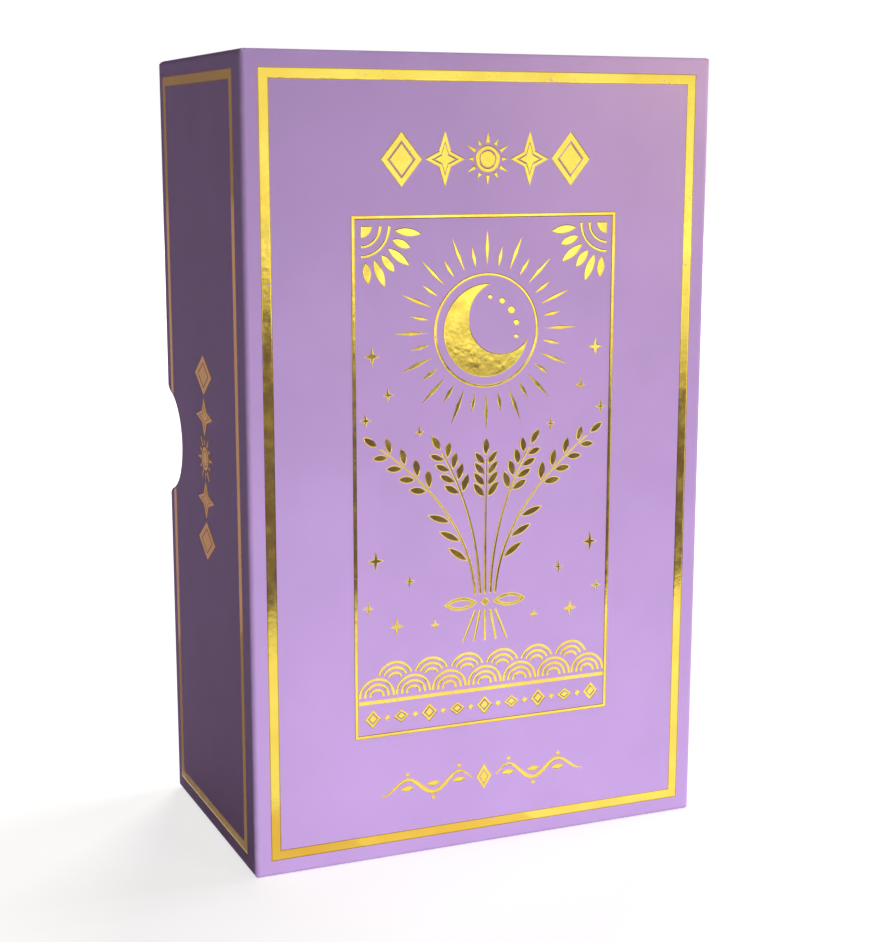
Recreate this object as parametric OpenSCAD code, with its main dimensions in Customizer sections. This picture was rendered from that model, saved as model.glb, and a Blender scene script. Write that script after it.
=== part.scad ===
// Boxed deck of tarot cards: a telescoping rigid box whose lid has two thumb notches, a deck of five
// packets and a paperback guidebook. Millimetres, +Z up. The box stands on a short end with its
// front towards -Y. The origin is on the surface that it stands on, under the middle of the box.

/* [Cards] */
// Width of a card
card_w = 70; // [64:1:76]
// Height of a card
card_h = 120; // [110:1:130]
// Thickness of a card
card_t = 0.39; // [0.3:0.01:0.45]
// Air between two cards of the deck
card_air = 0.01; // [0.01:0.01:0.03]
// Radius of a card's corners
card_corner_r = 3.5; // [2:0.5:6]
// Cards in the major arcana
major_count = 22; // [12:1:26]
// Cards in each suit
suit_count = 14; // [10:1:16]

/* [Guidebook] */
// Gap between the guidebook and the tray's wall
book_clear = 1.4; // [1.1:0.1:3]
// Folded sections in the guidebook
section_count = 8; // [5:1:10]
// Thickness of one folded section
section_t = 1.05; // [0.8:0.05:1.3]
// Air between two sections, and between a section and a cover
section_air = 0.02; // [0.01:0.01:0.05]
// Thickness of the cover card
cover_t = 0.3; // [0.2:0.02:0.4]
// Thickness of the glue along the spine
glue_t = 0.5; // [0.3:0.1:0.8]
// Gap between the front cover and the spine at the fold that it opens on
fold_gap = 0.06; // [0.04:0.01:0.1]

/* [Boards and papers] */
// Greyboard of the lid
lid_board_t = 2; // [1.5:0.1:2.5]
// Greyboard of the base
base_board_t = 1.6; // [1.2:0.1:2.2]
// Wrap and lining paper
paper_t = 0.2; // [0.14:0.02:0.3]
// Tape that holds the corners of a folded board
tape_t = 0.1; // [0.06:0.02:0.16]
// Width of the tape on each wall
tape_leg = 10; // [6:1:14]
// Distance of the tape's ends from the panel and from the rim
tape_end = 4; // [3:0.5:8]
// Width of the wrap that is turned in over the rim
turn_in = 12; // [8:1:18]
// Rounding of the wrapped edges
edge_r = 0.8; // [0.6:0.1:1.2]
// Rounding of the rim at the four corners, seen from the sides
rim_corner_r = 2; // [1:0.1:2.2]
// Radius of the thumb notches
notch_r = 9; // [6:0.5:11]
// Rounding of a notch's shoulders
shoulder_r = 3; // [0.8:0.1:4]

/* [Clearances] */
// Gap between the cards and the tray's wall
card_clear = 0.9; // [0.5:0.1:1.5]
// Gap between the base and the lid's wall
lid_clear = 0.35; // [0.2:0.05:0.6]
// Gap between the base's rim and the lid's front panel
seat_gap = 0.2; // [0.1:0.05:0.5]
// Room above the guidebook under the closed lid
headroom = 2.5; // [1:0.1:3.5]

/* [Foil borders] */
// Depth that flat foil is stamped into the wrap
foil_t = 0.05; // [0.03:0.01:0.1]
// Width of the borders
border_w = 1.7; // [1:0.1:2.5]
// Distance of the front border from the lid's edges
border_inset = 2.7; // [1.5:0.1:4]
// Distance of the side and end borders from the front edge
side_inset_front = 4.4; // [2:0.1:6]
// Distance of the side and end borders from the rim
side_inset_rim = 2.6; // [1:0.1:4]
// Gap between a side border and the thumb notch
notch_foil_gap = 0.3; // [0.2:0.1:0.6]

/* [Foil picture] */
// Height of the raised foil
relief_t = 0.08; // [0.05:0.01:0.15]
// Width of the picture's frame lines
line_w = 0.6; // [0.4:0.05:0.9]
// Width of the drawn strokes
stroke_w = 0.42; // [0.3:0.02:0.55]
// Gap between the front border and the picture at its sides
picture_side = 13; // [10:0.5:15]
// Height of the caption strip under the picture
caption_h = 6.4; // [5:0.2:8]
// Height of the largest small star
star_h = 3.5; // [2.5:0.1:4]
// Height of the title ornaments
title_h = 8.6; // [6:0.2:10]
// Length of the row of title ornaments
title_w = 37; // [30:0.5:42]
// Gap between the front border and the title
title_above = 7.6; // [5:0.2:10]
// Gap between the title and the picture
title_below = 4.3; // [2.5:0.1:6]
// Height of the vine under the picture
vine_h = 5.6; // [4:0.2:7]
// Length of the vine
vine_w = 37.5; // [30:0.5:42]
// Gap between the vine and the front border
vine_below = 4.8; // [3:0.2:6]
// Gap between the picture and the vine
vine_above = 6.6; // [4:0.2:8]
// Length of the row of ornaments on each side wall
side_title_w = 35.2; // [28:0.2:42]
// Height of the ornaments on each side wall
side_title_h = 9.6; // [7:0.2:11]

/* [Hidden] */
$fn = 48;

lavender = "#c4a4dd";
white_paper = "#f4f1ec";
greyboard = "#9a948c";
gold = "#d9b13b";
kraft = "#b99a6b";
card_stock = "#efe9f2";
page_stock = "#f6f2e6";
cover_stock = "#b596d2";

// Sizes of the deck, the book, the tray, the base and the lid, each from what it holds
card_pitch = card_t + card_air;
deck_t = (major_count + 4 * suit_count) * card_pitch;
sections_t = section_count * (section_t + section_air) + section_air;
book_t = sections_t + 2 * cover_t;
lid_wall = lid_board_t + 2 * paper_t;
base_wall = base_board_t + 2 * paper_t;
tray_w = card_w + 2 * card_clear;
tray_h = card_h + 2 * card_clear;
tray_d = deck_t + book_t + headroom;
base_w = tray_w + 2 * base_wall;
base_h = tray_h + 2 * base_wall;
base_d = tray_d + base_wall;
lid_w = base_w + 2 * (lid_clear + lid_wall);
lid_h = base_h + 2 * (lid_clear + lid_wall);
lid_d = base_d + seat_gap + lid_wall;
book_w = tray_w - 2 * book_clear;
book_h = tray_h - 2 * book_clear;

// Places along the depth, from the lid's front face to the base's back face
front_y = -lid_d / 2;
back_y = lid_d / 2;
tray_floor_y = back_y - base_wall;
book_back_y = tray_floor_y - deck_t;
mid_z = lid_h / 2;

// The picture on the front, between the title above it and the vine below it
border_edge = border_inset + border_w;
picture_w = lid_w - 2 * (border_edge + picture_side);
picture_top = lid_h - border_edge - title_above - title_h - title_below;
picture_bottom = border_edge + vine_below + vine_h + vine_above;
picture_h = picture_top - picture_bottom;
caption_top = picture_bottom + caption_h;
scene_w = picture_w - 2 * line_w;
scene_h = picture_top - line_w - caption_top;
scene_z = caption_top + scene_h / 2;
margin = 1;

// A rectangle of length l and width w: corners of radius r0 at its low end and r1 at its high end
module soft_rect(l, w, r0, r1) {
    translate([r0 - l / 2, -w / 2]) square([l - r0 - r1, w]);
    translate([-l / 2, r0 - w / 2]) square([l / 2, w - 2 * r0]);
    translate([0, r1 - w / 2]) square([l / 2, w - 2 * r1]);
    for (side = [-1, 1]) {
        translate([r0 - l / 2, side * (w / 2 - r0)]) circle(r0);
        translate([l / 2 - r1, side * (w / 2 - r1)]) circle(r1);
    }
}

// The closed block that a lid or base fills, inset all round: panel at y = 0, rim at y = d
module carton_block(w, d, h, inset) {
    a = w - 2 * inset;
    b = d - 2 * inset;
    c = h - 2 * inset;
    p = edge_r - inset;
    q = rim_corner_r - inset;
    translate([0, d / 2, h / 2]) intersection() {
        rotate([90, 0, 0]) linear_extrude(b, center = true) soft_rect(a, c, p, p);
        rotate([90, 0, 90]) linear_extrude(a, center = true) soft_rect(b, c, p, q);
        linear_extrude(c, center = true) rotate(90) soft_rect(b, a, p, p);
    }
}

// The straight hollow behind a wall of thickness t, from depth y0 to depth y1
module hollow(w, h, t, y0, y1) {
    translate([t - w / 2, y0, t]) cube([w - 2 * t, y1 - y0, h - 2 * t]);
}

// Outline of a thumb notch about the rim's middle: a round bite with rounded shoulders
module notch_outline(inset) {
    reach = sqrt(pow(notch_r + shoulder_r, 2) - pow(shoulder_r, 2));
    difference() {
        union() {
            circle(notch_r + inset);
            polygon([[margin, -reach], [-shoulder_r, -reach], [0, 0], [-shoulder_r, reach], [margin, reach]]);
        }
        for (side = [-1, 1]) {
            translate([-shoulder_r, side * reach]) circle(shoulder_r - inset);
        }
    }
}

// Both thumb notches, cut across the whole width
module notches(w, d, h, inset) {
    translate([0, d, h / 2]) rotate([90, 0, 90])
        linear_extrude(w + 2 * margin, center = true) notch_outline(inset);
}

module notched_block(w, d, h, inset, notched) {
    difference() {
        carton_block(w, d, h, inset);
        if (notched) notches(w, d, h, inset);
    }
}

// Paper tape round the four corners of a folded board, pressed flush into it
module corner_tapes(w, d, h) {
    difference() {
        intersection() {
            carton_block(w, d, h, paper_t);
            for (x = [-1, 1], z = [0, 1]) {
                translate([x * w / 2 - tape_leg, tape_end, z * h - tape_leg])
                    cube([2 * tape_leg, d - 2 * tape_end, 2 * tape_leg]);
            }
        }
        carton_block(w, d, h, paper_t + tape_t);
    }
}

// Greyboard, scored and folded into a tray
module folded_board(w, d, h, board_t, notched) {
    difference() {
        notched_block(w, d, h, paper_t, notched);
        hollow(w, h, paper_t + board_t, paper_t + board_t, d + margin);
        corner_tapes(w, d, h);
    }
}

// Wrap round the outside, over the rim and the notches, and turned in behind the rim
module wrap(w, d, h, board_t, notched) {
    wall = board_t + 2 * paper_t;
    difference() {
        notched_block(w, d, h, 0, notched);
        hollow(w, h, wall, wall, d + margin);
        difference() {
            notched_block(w, d, h, paper_t, notched);
            difference() {
                hollow(w, h, paper_t + board_t, d - turn_in, d + margin);
                hollow(w, h, wall, d - turn_in - margin, d + 2 * margin);
            }
        }
    }
}

// Lining from the panel to the edge of the turned-in wrap
module lining(w, d, h, board_t, notched) {
    wall = board_t + 2 * paper_t;
    difference() {
        hollow(w, h, paper_t + board_t, paper_t + board_t, d - turn_in);
        hollow(w, h, wall, wall, d);
        if (notched) notches(w, d, h, paper_t);
    }
}

module at_lid() {
    translate([0, front_y, 0]) children();
}

module at_base() {
    translate([0, back_y, lid_wall + lid_clear]) mirror([0, 1, 0]) children();
}

// Faces of the lid, each with its drawing seen from outside and its thickness outwards
module on_front() {
    translate([0, front_y, 0]) rotate([90, 0, 0]) children();
}

module on_left() {
    translate([-lid_w / 2, 0, mid_z]) rotate([90, 0, -90]) children();
}

module on_right() {
    translate([lid_w / 2, 0, mid_z]) rotate([90, 0, 90]) children();
}

module on_top() {
    translate([0, 0, lid_h]) children();
}

module on_bottom() {
    rotate([180, 0, 0]) children();
}

// Flat foil is stamped flush with the wrap, and raised foil stands on it
module stamped() {
    translate([0, 0, -foil_t]) linear_extrude(foil_t) children();
}

module raised() {
    linear_extrude(relief_t) children();
}

module frame_line(w, h, line) {
    difference() {
        square([w, h], center = true);
        square([w - 2 * line, h - 2 * line], center = true);
    }
}

module front_border() {
    on_front() stamped() translate([0, mid_z])
        frame_line(lid_w - 2 * border_inset, lid_h - 2 * border_inset, border_w);
}

// Border of a wall whose depth runs along x, with the lid's rim towards the high end
module wall_border(across) {
    depth = lid_d - side_inset_front - side_inset_rim;
    translate([(side_inset_front - side_inset_rim) / 2, 0])
        frame_line(depth, across - 2 * border_inset, border_w);
}

module side_border() {
    stamped() difference() {
        wall_border(lid_h);
        translate([lid_d / 2, 0]) notch_outline(notch_foil_gap);
    }
}

module left_border() {
    on_left() mirror([1, 0, 0]) side_border();
}

module right_border() {
    on_right() side_border();
}

module top_border() {
    on_top() stamped() rotate(90) wall_border(lid_w);
}

module bottom_border() {
    on_bottom() stamped() rotate(-90) wall_border(lid_w);
}

// Drawing elements
function normal_at(path, i) =
    let (a = path[max(i - 1, 0)], b = path[min(i + 1, len(path) - 1)], along = b - a)
    [-along[1], along[0]] / norm(along);

// A stroke along a path, as wide at each point as widths says
module stroke(path, widths) {
    last = len(path) - 1;
    polygon(concat(
        [for (i = [0:last]) path[i] + normal_at(path, i) * widths[i] / 2],
        [for (i = [last:-1:0]) path[i] - normal_at(path, i) * widths[i] / 2]
    ));
}

// A leaf with two round edges, from the origin along x
module leaf(l, w) {
    r = (l * l / 4 + w * w / 4) / w;
    translate([l / 2, 0]) intersection() {
        translate([0, w / 2 - r]) circle(r);
        translate([0, r - w / 2]) circle(r);
    }
}

module lozenge(w, h) {
    polygon([[-w / 2, 0], [0, -h / 2], [w / 2, 0], [0, h / 2]]);
}

// A star with n points, as wide and as high as w and h, whose hollows lie at a share of its points
module pointed_star(n, w, h, waist) {
    polygon([for (i = [0:2 * n - 1])
        (i % 2 == 0 ? 0.5 : 0.5 * waist) * [w * sin(180 * i / n), h * cos(180 * i / n)]]);
}

module ring(r, line) {
    difference() {
        circle(r + line / 2);
        circle(r - line / 2);
    }
}

module half_ring(r, line) {
    intersection() {
        ring(r, line);
        translate([-r - line, 0]) square([2 * (r + line), r + line]);
    }
}

// A solid shape with a fine engraved line inside its edge
module inlined(outer, inner) {
    difference() {
        children();
        difference() {
            scale(outer) children();
            scale(inner) children();
        }
    }
}

// The row of five title ornaments: lozenge, star, sun, star, lozenge
module title_row(l, h) {
    cell = l / 5;
    wide = cell * 0.94;
    for (side = [-1, 1]) {
        translate([2 * side * cell, 0]) inlined(0.66, 0.58) lozenge(wide, h);
        translate([side * cell, 0]) inlined(0.62, 0.54) pointed_star(4, wide, h, 0.4);
    }
    difference() {
        circle(wide * 0.3);
        ring(wide * 0.2, wide * 0.025);
    }
    for (i = [0:11]) {
        reach = h * (i % 2 == 0 ? 0.2 : 0.12);
        rotate(30 * i) translate([0, wide * 0.36]) polygon([[-0.05 * wide, 0], [0.05 * wide, 0], [0, reach]]);
    }
}

module on_scene() {
    on_front() raised() translate([0, scene_z]) children();
}

// Two rows of overlapping scallops along the foot of the picture
wave_count = 7;
wave_pitch = scene_w / wave_count;
wave_rings = [0.46, 0.32, 0.18];
wave_foot = line_w - scene_h / 2;
wave_top = wave_foot + 0.9 * wave_pitch;

module scallop() {
    for (share = wave_rings) {
        half_ring(share * wave_pitch, stroke_w);
    }
}

module waves() {
    for (i = [0:wave_count - 1]) {
        translate([(i + 0.5) * wave_pitch - scene_w / 2, wave_foot]) scallop();
    }
    difference() {
        for (i = [1:wave_count - 1]) {
            translate([i * wave_pitch - scene_w / 2, wave_foot + 0.4 * wave_pitch]) scallop();
        }
        for (i = [0:wave_count - 1]) {
            translate([(i + 0.5) * wave_pitch - scene_w / 2, wave_foot]) circle(0.5 * wave_pitch + stroke_w);
        }
    }
}

// The picture is drawn on a field 45 wide and 71 high above the waves, in units of about 1 mm
unit = min(scene_w / 45, (scene_h / 2 - wave_top) / 71);
ray_start = 10.2 * unit;
ray_long = 5.9 * unit;
ray_short = 3.4 * unit;
ray_count = 32;
moon_r = 7.5 * unit;
moon_v = scene_h / 2 - 1.8 * unit - ray_long - ray_start;
tie_v = wave_top + 8.3 * unit;
sprig_count = 5;
floret_l = 2.8 * unit;
floret_w = 1.15 * unit;
floret_lean = 38;
path_steps = 14;

// A crescent in a ring, with a row of dots in its opening
module moon() {
    ring(1.2 * moon_r, stroke_w);
    difference() {
        circle(moon_r);
        translate([0.36 * moon_r, 0.26 * moon_r]) circle(0.78 * moon_r);
    }
    for (i = [-2:2]) {
        rotate(36 + 24 * i) translate([0.72 * moon_r, 0]) circle((0.62 - 0.12 * abs(i)) * unit);
    }
}

module rays() {
    for (i = [0:ray_count - 1]) {
        reach = i % 2 == 0 ? ray_long : ray_short;
        rotate(360 * i / ray_count) translate([0, ray_start + reach / 2]) lozenge(1.5 * stroke_w, reach);
    }
}

// Small stars, mirrored left and right: [share of half width, share of half height, share of the height]
star_places = [
    [0.88, 0.45, 0.95], [0.76, 0.29, 0.67], [0.93, 0.19, 0.72], [0.52, 0.13, 0.61], [0.86, -0.40, 1],
    [0.60, -0.50, 0.67], [0.92, -0.60, 0.67], [0.70, -0.69, 0.89], [0.40, -0.70, 0.61]
];

module small_stars() {
    for (place = star_places, side = [-1, 1]) {
        translate([side * place[0] * scene_w / 2, place[1] * scene_h / 2])
            pointed_star(4, 0.8 * place[2] * star_h, place[2] * star_h, 0.3);
    }
}

function curve(a, b, c, t) = (1 - t) * (1 - t) * a + 2 * t * (1 - t) * b + t * t * c;

// A leaf beside the stem at share t of its length, turned off the stem by lean
module leaf_on(foot, bend, tip, t, lean, l, w) {
    at = curve(foot, bend, tip, t);
    ahead = curve(foot, bend, tip, t + 0.02) - at;
    translate(at) rotate(atan2(ahead[1], ahead[0]) + lean) translate([1.4 * stroke_w, 0]) leaf(l, w);
}

// A flower sprig: a stem that bends outwards and a head of paired florets
module sprig(k) {
    foot = [0.9 * k * unit, tie_v + 1.4 * unit];
    tip = [(6.3 + 1.5 * abs(k)) * k * unit, tie_v + (24 + 1.4 * abs(k)) * unit];
    bend = [1.5 * foot[0], foot[1] + 0.55 * (tip[1] - foot[1])];
    path = [for (i = [0:path_steps]) curve(foot, bend, tip, i / path_steps)];
    stroke(path, [for (i = [0:path_steps]) stroke_w * (1 - 0.4 * i / path_steps)]);
    for (t = [0.68:0.085:0.95], side = [-1, 1]) {
        leaf_on(foot, bend, tip, t, side * floret_lean,
            floret_l * (1.5 - 0.6 * t), floret_w * (1.4 - 0.5 * t));
    }
    leaf_on(foot, bend, tip, 1, 0, floret_l, floret_w);
    if (abs(k) == floor(sprig_count / 2)) {
        for (t = [0.2:0.13:0.5]) {
            leaf_on(foot, bend, tip, t, -sign(k) * floret_lean, 1.5 * floret_l, floret_w);
        }
    }
}

// The bunch of sprigs, tied with a bow
module sprigs() {
    half = floor(sprig_count / 2);
    for (k = [-half:half]) {
        sprig(k);
        stroke([[0.9 * k * unit, tie_v - 1.4 * unit], [2 * k * unit, tie_v - 6.6 * unit]],
            [stroke_w, 0.7 * stroke_w]);
    }
    translate([0, tie_v]) lozenge(1.6 * unit, 1.6 * unit);
    for (turn = [0, 180]) {
        translate([0, tie_v]) rotate(turn) translate([1.4 * unit, 0]) difference() {
            leaf(6 * unit, 2.2 * unit);
            translate([0.9 * unit, 0]) leaf(4.2 * unit, 1.1 * unit);
        }
    }
}

// The quarter of a shape below and to the right of its middle
module lower_quarter(r) {
    intersection() {
        children();
        translate([0, -2 * r]) square(2 * r);
    }
}

module fan() {
    lower_quarter(4 * unit) circle(1.8 * unit);
    for (r = [3.2 * unit, 4.7 * unit]) {
        lower_quarter(r) ring(r, stroke_w);
    }
    for (i = [0:5]) {
        rotate(-7.5 - 15 * i) translate([5.6 * unit, 0]) leaf((i % 2 == 0 ? 4.6 : 3.4) * unit, 1.3 * unit);
    }
}

// A fan in each upper corner
module fans() {
    for (side = [0, 1]) {
        mirror([side, 0]) translate([unit - scene_w / 2, scene_h / 2 - unit]) fan();
    }
}

module picture_frame() {
    translate([0, picture_bottom + picture_h / 2]) frame_line(picture_w, picture_h, line_w);
    translate([line_w / 2 - picture_w / 2, caption_top - line_w]) square([picture_w - line_w, line_w]);
}

// A chain of lozenges and dots in the caption strip
caption_count = 9;

module caption() {
    pitch = scene_w / caption_count;
    high = 0.5 * caption_h;
    translate([0, picture_bottom + caption_h / 2]) {
        for (i = [0:caption_count - 1]) {
            translate([(i - (caption_count - 1) / 2) * pitch, 0])
                inlined(0.62, 0.5) lozenge(0.56 * pitch, i % 2 == 0 ? high : 0.7 * high);
        }
        for (i = [1:caption_count - 1]) {
            translate([(i - caption_count / 2) * pitch, 0]) circle(0.085 * pitch);
        }
    }
}

// A vine of two mirrored waves that run out from a lozenge, with a leaf and a dot at each bend
vine_start = 0.4 * vine_h;
vine_waves = 1.75;
vine_bends = 3;
vine_steps = 36;

function vine_point(t) =
    [vine_start + t * (vine_w / 2 - vine_start), 0.3 * vine_h * sin(360 * vine_waves * t) * (1 - 0.35 * t)];

module half_vine() {
    path = [for (i = [0:vine_steps]) vine_point(i / vine_steps)];
    stroke(path, [for (i = [0:vine_steps]) stroke_w * (0.5 + 1.1 * sin(180 * i / vine_steps))]);
    for (i = [0:vine_bends - 1]) {
        bend = vine_point((2 * i + 1) / (4 * vine_waves));
        out = i % 2 == 0 ? 1 : -1;
        translate([bend[0] - 0.21 * vine_h, bend[1] - 0.27 * vine_h * out])
            leaf(0.42 * vine_h, 0.16 * vine_h);
        translate([bend[0], bend[1] + 0.17 * vine_h * out]) circle(0.06 * vine_h);
    }
}

module vine() {
    translate([0, border_edge + vine_below + vine_h / 2]) {
        inlined(0.62, 0.5) lozenge(0.5 * vine_h, 0.8 * vine_h);
        half_vine();
        mirror([1, 0]) half_vine();
    }
}

// Sub-parts of the lid
module lid_board() {
    color(greyboard) at_lid() folded_board(lid_w, lid_d, lid_h, lid_board_t, true);
}

module lid_corner_tapes() {
    color(kraft) at_lid() corner_tapes(lid_w, lid_d, lid_h);
}

module lid_wrap() {
    color(lavender) difference() {
        at_lid() wrap(lid_w, lid_d, lid_h, lid_board_t, true);
        front_border();
        left_border();
        right_border();
        top_border();
        bottom_border();
    }
}

module title_foil() {
    title_z = picture_top + title_below + title_h / 2;
    on_front() raised() translate([0, title_z]) title_row(title_w, title_h);
}

module left_title_foil() {
    on_left() raised() rotate(90) title_row(side_title_w, side_title_h);
}

module right_title_foil() {
    on_right() raised() rotate(90) title_row(side_title_w, side_title_h);
}

module lid_lining() {
    color(white_paper) at_lid() lining(lid_w, lid_d, lid_h, lid_board_t, true);
}

// Sub-parts of the base
module base_board() {
    color(greyboard) at_base() folded_board(base_w, base_d, base_h, base_board_t, false);
}

module base_corner_tapes() {
    color(kraft) at_base() corner_tapes(base_w, base_d, base_h);
}

module base_wrap() {
    color(white_paper) at_base() wrap(base_w, base_d, base_h, base_board_t, false);
}

module base_lining() {
    color(white_paper) at_base() lining(base_w, base_d, base_h, base_board_t, false);
}

// The guidebook lies on the deck with its spine to the left. Its front cover turns on the fold
// where it meets the spine.
book_left = -book_w / 2;
book_front_y = book_back_y - book_t;
fold_x = book_left + cover_t / 2;
fold_y = book_front_y + cover_t / 2;

module upright(z0, high) {
    translate([0, 0, z0]) linear_extrude(high) children();
}

module guidebook_front_cover() {
    color(cover_stock) upright(mid_z - book_h / 2, book_h) {
        translate([fold_x, fold_y]) circle(cover_t / 2);
        translate([fold_x, book_front_y]) square([book_w - cover_t / 2, cover_t]);
    }
}

module guidebook_back_cover() {
    color(cover_stock) upright(mid_z - book_h / 2, book_h) {
        translate([book_left, book_front_y + cover_t + fold_gap])
            square([cover_t, book_t - 1.5 * cover_t - fold_gap]);
        translate([fold_x, book_back_y - cover_t]) square([book_w - cover_t / 2, cover_t]);
        translate([fold_x, book_back_y - cover_t / 2]) circle(cover_t / 2);
    }
}

module guidebook_sections() {
    fold_r = section_t / 2;
    left = book_left + cover_t + glue_t;
    color(page_stock) for (i = [0:section_count - 1]) {
        y = book_front_y + cover_t + section_air + i * (section_t + section_air);
        upright(mid_z - book_h / 2, book_h) {
            translate([left + fold_r, y]) square([book_w - cover_t - glue_t - fold_r, section_t]);
            translate([left + fold_r, y + fold_r]) circle(fold_r);
        }
    }
}

module guidebook_spine_glue() {
    left = book_left + cover_t;
    fold_r = section_t / 2;
    color(white_paper) upright(mid_z - book_h / 2, book_h) difference() {
        translate([left, book_front_y + cover_t + section_air])
            square([glue_t + fold_r, sections_t - 2 * section_air]);
        for (i = [0:section_count - 1]) {
            y = book_front_y + cover_t + section_air + i * (section_t + section_air);
            translate([left + glue_t + fold_r, y + fold_r]) circle(fold_r);
            translate([left + glue_t + fold_r, y]) square([fold_r, section_t]);
        }
    }
}

// Cards lie flat against the tray's floor, one packet on the next
module card() {
    rotate([90, 0, 0]) linear_extrude(card_t) soft_rect(card_w, card_h, card_corner_r, card_corner_r);
}

module packet(first, count) {
    color(card_stock) for (i = [0:count - 1]) {
        translate([0, tray_floor_y - card_air - (first + i) * card_pitch, mid_z]) card();
    }
}

module pentacles_cards() {
    packet(0, suit_count);
}

module swords_cards() {
    packet(suit_count, suit_count);
}

module cups_cards() {
    packet(2 * suit_count, suit_count);
}

module wands_cards() {
    packet(3 * suit_count, suit_count);
}

module major_arcana_cards() {
    packet(4 * suit_count, major_count);
}

lid_board();
lid_corner_tapes();
lid_wrap();
lid_lining();
color(gold) front_border();  // front_border_foil
color(gold) left_border();  // left_border_foil
color(gold) right_border();  // right_border_foil
color(gold) top_border();  // top_border_foil
color(gold) bottom_border();  // bottom_border_foil
color(gold) title_foil();
color(gold) left_title_foil();
color(gold) right_title_foil();
color(gold) on_front() raised() picture_frame();  // picture_frame_foil
color(gold) on_front() raised() caption();  // caption_foil
color(gold) on_front() raised() vine();  // vine_foil
color(gold) on_scene() translate([0, moon_v]) moon();  // moon_foil
color(gold) on_scene() translate([0, moon_v]) rays();  // ray_foil
color(gold) on_scene() small_stars();  // star_foil
color(gold) on_scene() sprigs();  // sprig_foil
color(gold) on_scene() fans();  // fan_foil
color(gold) on_scene() waves();  // wave_foil
base_board();
base_corner_tapes();
base_wrap();
base_lining();
guidebook_front_cover();
guidebook_back_cover();
guidebook_sections();
guidebook_spine_glue();
major_arcana_cards();
wands_cards();
cups_cards();
swords_cards();
pentacles_cards();
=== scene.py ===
"""Boxed card deck: papers, foil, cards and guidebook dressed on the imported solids, with a studio stage."""
import math
import random
from functools import reduce

import bmesh
import bpy
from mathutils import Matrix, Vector


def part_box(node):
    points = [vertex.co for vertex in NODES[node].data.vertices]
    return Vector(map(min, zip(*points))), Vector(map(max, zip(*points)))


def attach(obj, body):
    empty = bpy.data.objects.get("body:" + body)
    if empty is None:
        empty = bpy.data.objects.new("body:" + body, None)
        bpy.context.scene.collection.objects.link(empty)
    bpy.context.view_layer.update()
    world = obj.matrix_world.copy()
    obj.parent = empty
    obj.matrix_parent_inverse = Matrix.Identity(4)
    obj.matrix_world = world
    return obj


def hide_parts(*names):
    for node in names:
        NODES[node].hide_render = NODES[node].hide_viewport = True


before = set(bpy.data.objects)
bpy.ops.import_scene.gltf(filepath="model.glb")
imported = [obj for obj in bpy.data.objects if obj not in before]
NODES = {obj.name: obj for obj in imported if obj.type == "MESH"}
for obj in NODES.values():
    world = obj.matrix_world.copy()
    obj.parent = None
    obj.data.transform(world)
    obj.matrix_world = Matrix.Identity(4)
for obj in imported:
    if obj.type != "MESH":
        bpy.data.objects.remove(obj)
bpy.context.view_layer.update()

bl_info = {
    "name": "Boxed card deck",
    "version": (1, 0, 0),
    "blender": (4, 5, 0),
    "location": "View3D > Sidebar > Card deck",
    "description": "Dresses a lift-off lid box, its cards and its guidebook",
    "category": "Object",
}

MM = 0.001
FOILS = tuple(name for name in NODES if name.endswith("_foil"))
# Foils that are one rectangular line, and how wide the die's bite shows at the line's edges, as a sunk bump
# and as a painted shaded rim
BANDS = tuple(name for name in FOILS if name.endswith(("_border_foil", "_frame_foil")))
BITE = 0.26 * MM
# Width and height of the lip round a stamped ornament, and how far it may run on into a sharp tip
LIP_W, LIP_H = 0.11 * MM, 0.02 * MM
LIP_REACH = 2.5
# A face looks out if its normal comes this close to its wall's; points this many digits alike are one
FACING = 0.9
DIGITS = 8

# Cards in each packet, the air between two cards, and how far a card may slip or turn
PACKETS = {"major_arcana_cards": 22, "wands_cards": 14, "cups_cards": 14, "swords_cards": 14,
           "pentacles_cards": 14}
CARD_AIR = 0.01 * MM
CARD_CORNER = 3.5 * MM
CORNER_STEPS = 6
CARD_SLIP = 0.14 * MM
CARD_TURN = math.radians(0.07)

# Folded sections of the guidebook, sheets in one section, and straight steps in the round of a fold
SECTIONS = 8
SECTION_AIR = 0.02 * MM
SECTION_SLIP = 0.05 * MM
SHEETS = 4
FOLD_STEPS = 8
# Share of its room that a leaf fills, how far its edges lie back, and its trim at head and foot
LEAF_FILL = 0.9
LEAF_BACK = (0.05 * MM, 0.16 * MM)
LEAF_TRIM = 0.06 * MM

# Printing in mm. Frame lines by their distance inside the frame and rings by radius, each with half its width
FRAME_LINES = ((1.1, 0.3), (2.2, 0.13))
RINGS = ((14.0, 0.35), (12.6, 0.14))
PETALS = 8
PETAL_TIP, PETAL_WAIST, PETAL_HUB = 10.6, 4.0, 2.4
# Half sizes of a card's frame, and width and height of a lozenge in the lattice on its back
CARD_FRAME = (31.5, 56.5)
LOZENGE = (7.0, 10.0)
# The lattice stays this far inside the frame and this far from the middle
LATTICE_INSET, LATTICE_CLEAR = 2.8, 14.6
# Depth of a printed face, and the frame's distance from the edge on a cover and on the first page
PRINT_DEPTH = 0.08
COVER_MARGIN, PAGE_MARGIN = 3, 7

# Camera: its place in metres, its sensor in mm, and the shift of its frame in pixels of the image
CAMERA_AT = (-0.1207, -0.2836, 0.1167)
SENSOR = 36
FRAME_SHIFT = (12.5, 30.0)
IMAGE_H = 942

# Soft lamps: place, target, and width and height, in metres
LAMPS = {
    "key": ((1.15, -1.80, 0.36), (0.0, 0.0, 0.06), (0.9, 0.7)),
    "back": ((1.10, 1.70, 0.90), (0.0, 0.0, 0.06), (0.9, 0.9)),
    "side": ((1.60, 0.20, 1.70), (0.0, 0.0, 0.10), (0.9, 0.9)),
}
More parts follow.
